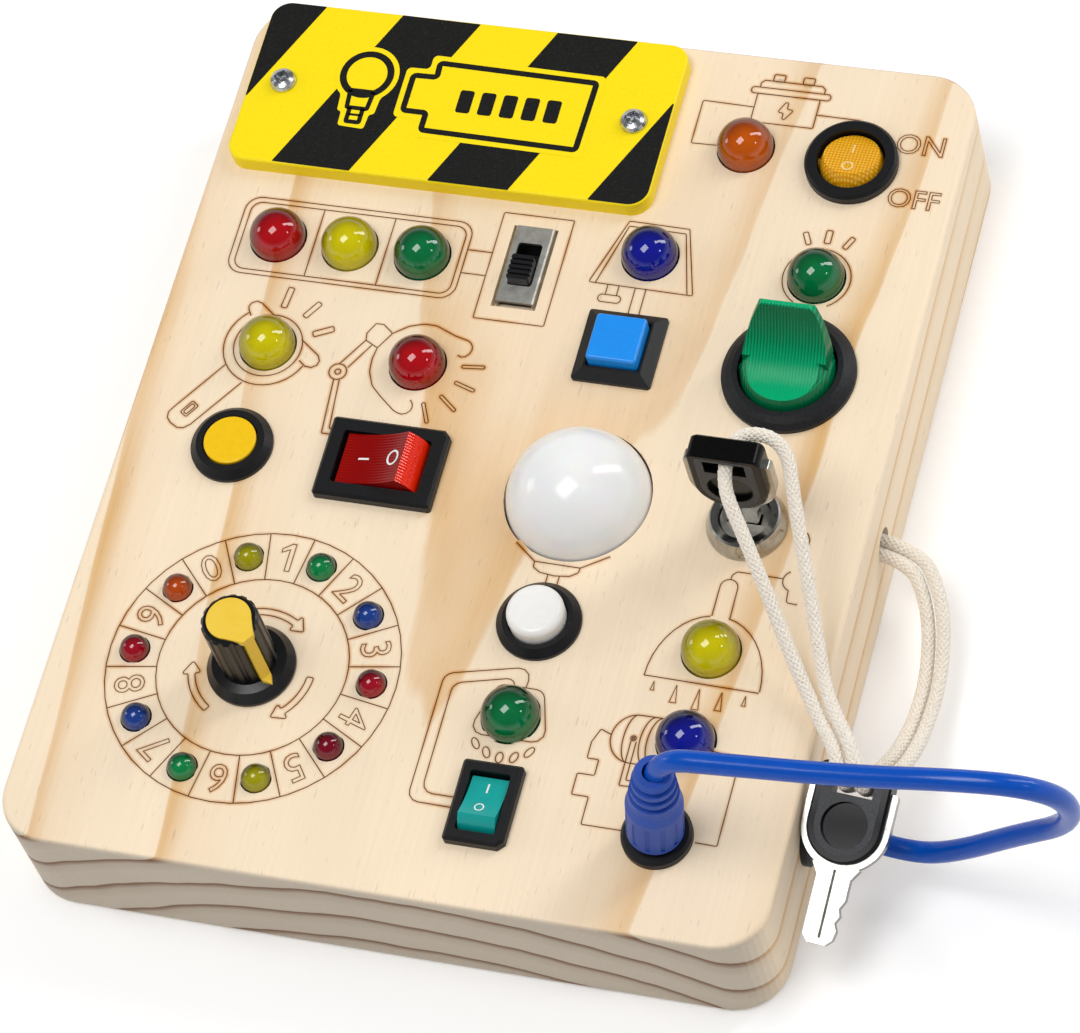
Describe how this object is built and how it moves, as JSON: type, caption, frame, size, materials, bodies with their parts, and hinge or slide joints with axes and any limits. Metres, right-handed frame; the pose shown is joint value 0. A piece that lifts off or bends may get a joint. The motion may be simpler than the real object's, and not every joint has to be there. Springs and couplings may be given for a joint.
{
  "type": "wooden busy board",
  "caption": "Wooden activity board with switches, push buttons, a key switch, a dial knob, a plug on a cable and coloured lamps.",
  "frame": {"origin": "middle of the board's back face, which lies on the ground", "axes": "+Z out of the face with the switches, +Y towards the board's top edge, +X towards its right edge"},
  "size_m": [0.1814, 0.168, 0.0618],
  "materials": {
    "pine": "sanded and clear oiled",
    "plywood": "sanded birch plywood",
    "zinc_screw": "zinc plated",
    "bay_plastic": "moulded, fine texture",
    "cell_sleeve": "printed sleeve, left plain",
    "contact_steel": "nickel plated spring steel",
    "sign_laminate": "engraved two-colour laminate",
    "red_lens": "clear tinted epoxy",
    "maroon_lens": "clear tinted epoxy",
    "yellow_lens": "clear tinted epoxy",
    "green_lens": "clear tinted epoxy",
    "blue_lens": "clear tinted epoxy",
    "amber_lens": "clear tinted epoxy",
    "opal_lens": "opal acrylic",
    "tinned_wire": "tinned",
    "board_laminate": "solder mask",
    "black_plastic": "moulded nylon",
    "red_plastic": "moulded",
    "teal_plastic": "moulded",
    "amber_plastic": "moulded translucent",
    "blue_plastic": "moulded",
    "yellow_plastic": "moulded",
    "white_plastic": "moulded",
    "green_plastic": "moulded",
    "grey_case": "moulded",
    "shaft_aluminium": "turned",
    "nickel": "nickel plated",
    "brass_tab": "stamped",
    "slide_steel": "stamped",
    "key_metal": "nickel plated brass",
    "key_plastic": "moulded grip",
    "plug_plastic": "moulded soft plastic",
    "cable_jacket": "smooth jacket",
    "rope_cotton": "braided cotton"
  },
  "bodies": {
    "board": {"wooden_body": "pine", "back_panel": "plywood", "back_panel_screws": "zinc_screw", "battery_box": "bay_plastic", "battery_cells": "cell_sleeve", "battery_contacts": "contact_steel", "battery_door": "bay_plastic", "battery_door_screw": "zinc_screw", "sign_plate": "sign_laminate", "sign_plate_screws": "zinc_screw", "lamps_red": "red_lens", "lamps_yellow": "yellow_lens", "lamps_green": "green_lens", "lamps_blue": "blue_lens", "lamp_amber": "amber_lens", "dial_lamps_green": "green_lens", "dial_lamps_blue": "blue_lens", "dial_lamps_red": "red_lens", "dial_lamp_maroon": "maroon_lens", "dial_lamps_yellow": "yellow_lens", "dial_lamp_orange": "amber_lens", "lamp_leads": "tinned_wire", "circuit_boards": "board_laminate", "rotary_switch_case": "grey_case", "red_rocker_housing": "black_plastic", "teal_rocker_housing": "black_plastic", "round_rocker_housing": "black_plastic", "switch_terminals": "brass_tab", "slide_switch_plate": "slide_steel", "slide_switch_case": "grey_case", "square_button_housing": "black_plastic", "yellow_button_housing": "black_plastic", "white_button_housing": "black_plastic", "paddle_housing": "black_plastic", "panel_nuts": "nickel", "bulb_dome": "opal_lens", "lock_body": "nickel", "spare_key_blade": "key_metal", "spare_key_head": "key_plastic", "jack_socket": "black_plastic", "cable_gland": "black_plastic", "blue_cable": "cable_jacket", "rope": "rope_cotton"},
    "round_rocker": {"round_rocker": "amber_plastic"},
    "red_rocker": {"red_rocker": "red_plastic"},
    "teal_rocker": {"teal_rocker": "teal_plastic"},
    "paddle": {"paddle": "green_plastic"},
    "slide_knob": {"slide_switch_knob": "black_plastic"},
    "square_cap": {"square_button_cap": "blue_plastic"},
    "white_cap": {"white_button_cap": "white_plastic"},
    "yellow_cap": {"yellow_button_cap": "yellow_plastic"},
    "key_cord": {"rope_loop": "rope_cotton"},
    "key": {"key_blade": "key_metal", "key_head": "key_plastic"},
    "rotor": {"lock_rotor": "nickel"},
    "knob": {"knob": "black_plastic", "knob_pointer": "yellow_plastic", "rotary_shaft": "shaft_aluminium"},
    "plug": {"plug_body": "plug_plastic", "plug_barrel": "nickel"}
  },
  "joints": [
    {"name": "round_rocker_tilt", "type": "hinge", "parent": "board", "child": "round_rocker", "pos_m": [0.047, 0.0638, 0.0231], "axis": [1, 0, 0], "range_deg": [0, 30]},
    {"name": "red_rocker_tilt", "type": "hinge", "parent": "board", "child": "red_rocker", "pos_m": [-0.0185, -0.0064, 0.0226], "axis": [0, 1, 0], "range_deg": [0, 34]},
    {"name": "teal_rocker_tilt", "type": "hinge", "parent": "board", "child": "teal_rocker", "pos_m": [0.0156, -0.0656, 0.023], "axis": [1, 0, 0], "range_deg": [0, 34]},
    {"name": "paddle_flick", "type": "hinge", "parent": "board", "child": "paddle", "pos_m": [0.046, 0.0213, 0.024], "axis": [1, 0, 0], "range_deg": [0, 25]},
    {"name": "slide_knob_move", "type": "slide", "parent": "board", "child": "slide_knob", "axis": [0, 1, 0], "range_m": [0, 0.0035]},
    {"name": "square_button_press", "type": "slide", "parent": "board", "child": "square_cap", "axis": [0, 0, -1], "range_m": [0, 0.002], "stiffness_N_per_m": 500},
    {"name": "white_button_press", "type": "slide", "parent": "board", "child": "white_cap", "axis": [0, 0, -1], "range_m": [0, 0.0022], "stiffness_N_per_m": 500},
    {"name": "yellow_button_release", "type": "slide", "parent": "board", "child": "yellow_cap", "axis": [0, 0, 1], "range_m": [0, 0.0022]},
    {"name": "key_pull", "type": "slide", "parent": "board", "child": "key_cord", "axis": [0, 0, 1], "range_m": [0, 0.012], "deforming": ["rope"]},
    {"name": "key_turn", "type": "hinge", "parent": "key_cord", "child": "key", "pos_m": [0.04583, -0.00793, 0.03], "axis": [0, 0, -1], "range_deg": [0, 90], "deforming": ["rope_loop"]},
    {"name": "rotor_turn", "type": "hinge", "parent": "board", "child": "rotor", "pos_m": [0.04583, -0.00793, 0.018], "axis": [0, 0, -1], "range_deg": [0, 90]},
    {"name": "knob_turn", "type": "hinge", "parent": "board", "child": "knob", "pos_m": [-0.0302, -0.0469, 0.03], "axis": [0, 0, 1], "continuous": true},
    {"name": "plug_pull", "type": "slide", "parent": "board", "child": "plug", "axis": [0.1564, 0, 0.9877], "range_m": [0, 0.014], "deforming": ["blue_cable"]}
  ],
  "couplings": [
    {"joint": "rotor_turn", "follows": "key_turn", "ratio": 1}
  ]
}
